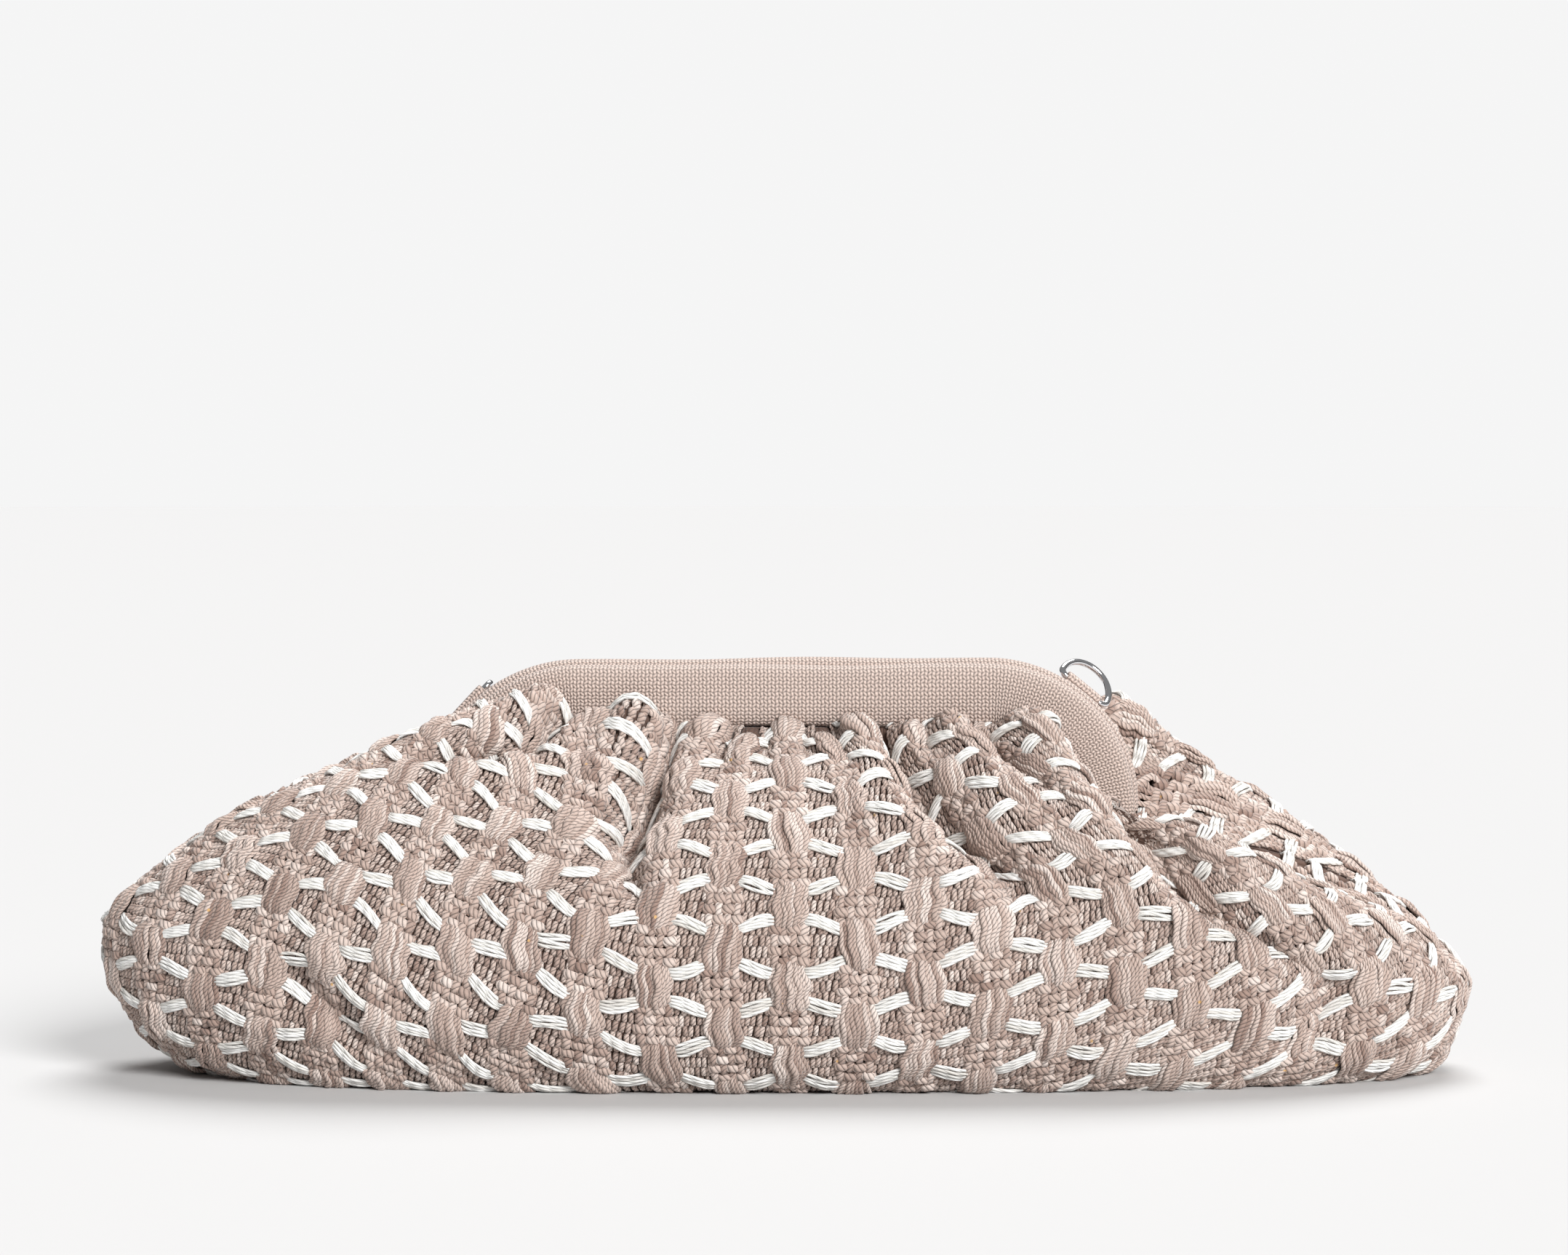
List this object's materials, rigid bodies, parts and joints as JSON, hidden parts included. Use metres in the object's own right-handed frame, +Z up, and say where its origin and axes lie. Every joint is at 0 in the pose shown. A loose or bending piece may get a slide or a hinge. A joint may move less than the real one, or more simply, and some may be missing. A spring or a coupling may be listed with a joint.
{
  "type": "gathered pouch clutch",
  "caption": "Soft half-moon clutch of chunky honeycomb cloth gathered onto a hinged frame in padded canvas casings, with a strap ring on a tab at each end.",
  "frame": {"origin": "on the surface the bag stands on, under the middle of its length and depth", "axes": "+X along the bag to the right as seen from the front, -Y out of the front panel, +Z up"},
  "size_m": [0.412, 0.12, 0.1245],
  "materials": {
    "woven": "chunky honeycomb weave of mauve-pink cotton yarn with off-white weft",
    "canvas": "plain dusty pink canvas",
    "lining": "smooth cotton lining",
    "tape": "plain woven cotton tape",
    "padding": "soft polyester wadding",
    "frame_steel": "zinc-plated flat strip",
    "magnet": "nickel-plated magnet",
    "bright_metal": "polished bright plating"
  },
  "bodies": {
    "body": {"front_panel": "woven", "back_panel": "woven", "front_lining": "lining", "back_lining": "lining", "slip_pocket": "lining", "front_stay_tape": "tape", "back_stay_tape": "tape", "left_hinge_rivet": "bright_metal", "right_hinge_rivet": "bright_metal", "left_hinge_washer": "bright_metal", "right_hinge_washer": "bright_metal"},
    "front_frame": {"front_casing": "canvas", "front_frame_bar": "frame_steel", "front_casing_padding": "padding", "front_left_magnet": "magnet", "front_right_magnet": "magnet"},
    "back_frame": {"back_casing": "canvas", "back_frame_bar": "frame_steel", "back_casing_padding": "padding", "back_left_magnet": "magnet", "back_right_magnet": "magnet", "left_ring_tab": "canvas", "right_ring_tab": "canvas"},
    "left_ring": {"left_d_ring": "bright_metal"},
    "right_ring": {"right_d_ring": "bright_metal"}
  },
  "joints": [
    {"name": "front_frame_hinge", "type": "hinge", "parent": "body", "child": "front_frame", "pos_m": [0, 0, 0.072], "axis": [1, 0, 0], "range_deg": [0, 45], "deforming": ["front_panel", "front_lining", "front_stay_tape"]},
    {"name": "back_frame_hinge", "type": "hinge", "parent": "body", "child": "back_frame", "pos_m": [0, 0, 0.072], "axis": [-1, 0, 0], "range_deg": [0, 45], "deforming": ["back_panel", "back_lining", "back_stay_tape"]},
    {"name": "left_ring_swing", "type": "hinge", "parent": "back_frame", "child": "left_ring", "pos_m": [-0.096, 0.0118, 0.11024], "axis": [-0.682, 0, -0.7314], "range_deg": [-120, 35]},
    {"name": "right_ring_swing", "type": "hinge", "parent": "back_frame", "child": "right_ring", "pos_m": [0.09132, 0.0118, 0.11459], "axis": [-0.7771, 0, 0.6293], "range_deg": [-90, 50]}
  ],
  "couplings": [
    {"joint": "back_frame_hinge", "follows": "front_frame_hinge", "ratio": 1}
  ]
}
